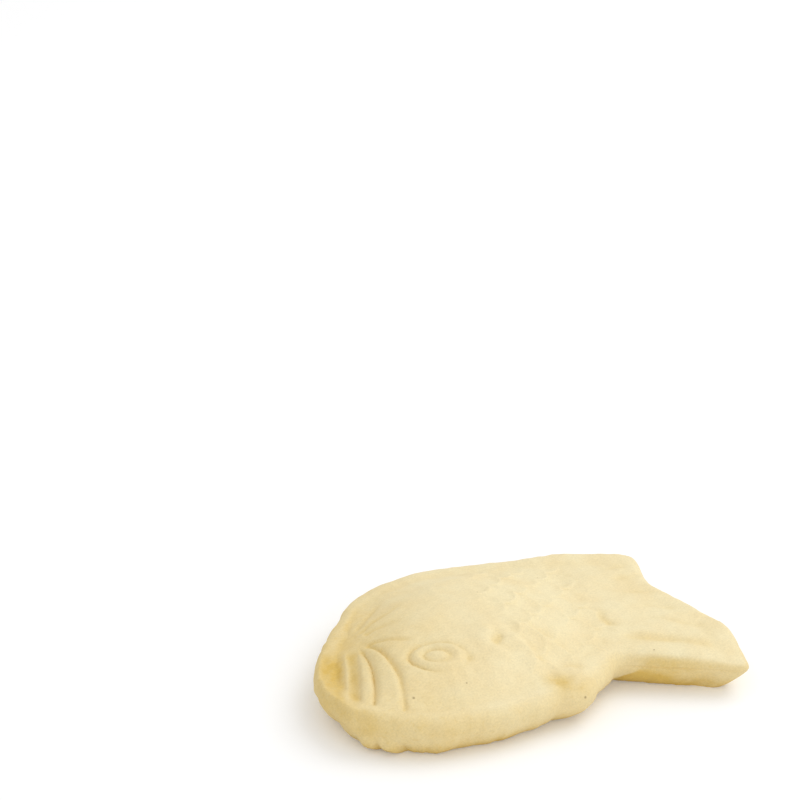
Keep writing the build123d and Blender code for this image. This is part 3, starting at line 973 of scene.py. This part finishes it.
def bare_clay():
    """Unglazed pale clay: cream and peach in soft mottles, painted shade in the hollows and on the sides, a little
    toast, sand grain and dark specks.
    """
    finish = bpy.data.materials.new("bare_clay")
    finish.use_nodes = True
    tree = finish.node_tree
    shader = tree.nodes["Principled BSDF"]
    shader.inputs["Specular IOR Level"].default_value = GLOSS

    def node(kind, inputs=None, **values):
        made = tree.nodes.new(kind)
        for key, value in values.items():
            setattr(made, key, value)
        for key, value in (inputs or {}).items():
            if isinstance(value, bpy.types.NodeSocket):
                tree.links.new(value, made.inputs[key])
            else:
                made.inputs[key].default_value = value
        return made

    def noise(scale, detail, roughness):
        inputs = {"Vector": place, "Scale": scale, "Detail": detail, "Roughness": roughness}
        return node("ShaderNodeTexNoise", inputs).outputs["Fac"]

    def spread(value, stretch, ends):
        inputs = {"Value": value, "From Min": stretch[0], "From Max": stretch[1], "To Min": ends[0], "To Max": ends[1]}
        return node("ShaderNodeMapRange", inputs).outputs["Result"]

    def sums(operation, first, second):
        return node("ShaderNodeMath", {0: first, 1: second}, operation=operation).outputs[0]

    def blend(share, first, second, kind="MIX"):
        made = node("ShaderNodeMix", {"Factor": share}, data_type="RGBA", blend_type=kind)
        for slot, value in ((6, first), (7, second)):
            if isinstance(value, bpy.types.NodeSocket):
                tree.links.new(value, made.inputs[slot])
            else:
                made.inputs[slot].default_value = (*value, 1)
        return made.outputs[2]

    place = node("ShaderNodeTexCoord").outputs["Object"]
    toast_and_shade = node("ShaderNodeAttribute", attribute_name="toast_and_shade").outputs["Fac"]
    mottle = spread(noise(*MOTTLE), MOTTLE_STRETCH, MOTTLE_PEACH)
    cloud = spread(noise(*CLOUD), CLOUD_STRETCH, CLOUD_GAIN)
    grain = noise(*GRAIN)
    grit = spread(noise(*GRIT), GRIT_STRETCH, GRIT_SHARE)
    sand = node("ShaderNodeTexVoronoi", {"Vector": place, "Scale": SAND_SCALE}).outputs["Distance"]

    body = blend(mottle, CREAM, PEACH)
    # Painted shade and toast from the point attribute turn the colour towards tan
    body = blend(sums("MINIMUM", sums("MULTIPLY", toast_and_shade, cloud), 1.0), body, TOAST_AND_SHADE_TAN)
    body = blend(GRAIN_SHARE, body, blend(1.0, body, spread(grain, GRAIN_STRETCH, GRAIN_LIGHT), "MULTIPLY"))
    body = blend(sums("MULTIPLY", grit, toast_and_shade), body, TOAST_AND_SHADE_TAN)
    specks = 0.0
    for x, y, radius in SPECKS:
        z = pressed_height(np.array([x]), np.array([y]))[0][0]
        middle = (x * MM, y * MM, z * MM)
        away = node("ShaderNodeVectorMath", {0: place, 1: middle}, operation="DISTANCE").outputs["Value"]
        fade = [share * radius * MM for share in SPECK_FADE]
        specks = sums("MAXIMUM", specks, spread(away, fade, (SPECK_SHARE, 0.0)))
    body = blend(specks, body, SPECK)
    tree.links.new(body, shader.inputs["Base Color"])
    tree.links.new(spread(grain, GRAIN_STRETCH, GRAIN_ROUGHNESS), shader.inputs["Roughness"])
    height = sums("ADD", grain, sums("MULTIPLY", sand, SAND_SHARE))
    bump = node("ShaderNodeBump", {"Height": height, "Strength": BUMP_STRENGTH, "Distance": BUMP_HEIGHT * MM})
    tree.links.new(bump.outputs["Normal"], shader.inputs["Normal"])
    return finish


clay = bare_clay()
top = upper_half(clay)
base = lower_half(clay)
for piece, node in ((top, "upper_half"), (base, "lower_half")):
    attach(piece, "root")
    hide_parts(node)


# Floor, light and camera, in metres

FLOOR_REACH = 1.5
FLOOR_WHITE = 0.9
FLOOR_ROUGHNESS = 0.9
FLOOR_LIFT = 0.12
SKY_STRENGTH = 0.785
CAMERA_PLACE = (-0.123597, -0.292076, 0.197660)
CAMERA_DOWN = 26.3082
CAMERA_TURN = -20.2564
SENSOR_MM = 36.0
LENS_MM = 119.25
NEAREST = 0.01


def studio_floor():
    """A pale floor, level just under the rest, that shines a little where the camera or a reflection sees it."""
    mesh = bpy.data.meshes.new("studio_floor")
    corners = [(x * FLOOR_REACH, y * FLOOR_REACH, 0) for x, y in ((-1, -1), (1, -1), (1, 1), (-1, 1))]
    mesh.from_pydata(corners, [], [(0, 1, 2, 3)])
    white = bpy.data.materials.new("studio_white")
    white.use_nodes = True
    tree = white.node_tree
    shader = tree.nodes["Principled BSDF"]
    shader.inputs["Base Color"].default_value = (FLOOR_WHITE, FLOOR_WHITE, FLOOR_WHITE, 1)
    shader.inputs["Roughness"].default_value = FLOOR_ROUGHNESS
    shader.inputs["Emission Color"].default_value = (1, 1, 1, 1)
    path = tree.nodes.new("ShaderNodeLightPath")
    seen = path.outputs["Is Camera Ray"]
    for kind in ("Is Glossy Ray", "Is Transmission Ray"):
        both = tree.nodes.new("ShaderNodeMath")
        both.operation = "MAXIMUM"
        tree.links.new(seen, both.inputs[0])
        tree.links.new(path.outputs[kind], both.inputs[1])
        seen = both.outputs[0]
    lift = tree.nodes.new("ShaderNodeMath")
    lift.operation = "MULTIPLY"
    lift.inputs[1].default_value = FLOOR_LIFT
    tree.links.new(seen, lift.inputs[0])
    tree.links.new(lift.outputs[0], shader.inputs["Emission Strength"])
    mesh.materials.append(white)
    floor = bpy.data.objects.new("studio_floor", mesh)
    bpy.context.collection.objects.link(floor)


def soft_lamp(name, place, size, power):
    """A square soft lamp at a place, turned to face the rest."""
    data = bpy.data.lights.new(name, "AREA")
    data.size = size
    data.energy = power
    lamp = bpy.data.objects.new(name, data)
    lamp.location = place
    lamp.rotation_mode = "QUATERNION"
    lamp.rotation_quaternion = (-Vector(place)).to_track_quat("-Z", "Y")
    bpy.context.collection.objects.link(lamp)


studio_floor()
world = bpy.data.worlds.new("studio")
world.use_nodes = True
sky = world.node_tree.nodes["Background"]
sky.inputs["Color"].default_value = (1, 1, 1, 1)
sky.inputs["Strength"].default_value = SKY_STRENGTH
bpy.context.scene.world = world
soft_lamp("overhead", place=(0.36, 0.076, 0.48), size=0.45, power=1.2)
soft_lamp("front_fill", place=(0.05, -0.5, 0.12), size=0.5, power=0.55)

lens = bpy.data.cameras.new("camera")
lens.sensor_width = SENSOR_MM
lens.lens = LENS_MM
lens.clip_start = NEAREST
camera = bpy.data.objects.new("camera", lens)
camera.location = CAMERA_PLACE
camera.rotation_euler = (radians(90 - CAMERA_DOWN), 0, radians(CAMERA_TURN))
bpy.context.collection.objects.link(camera)
bpy.context.scene.camera = camera
bpy.context.scene.view_settings.view_transform = "Standard"
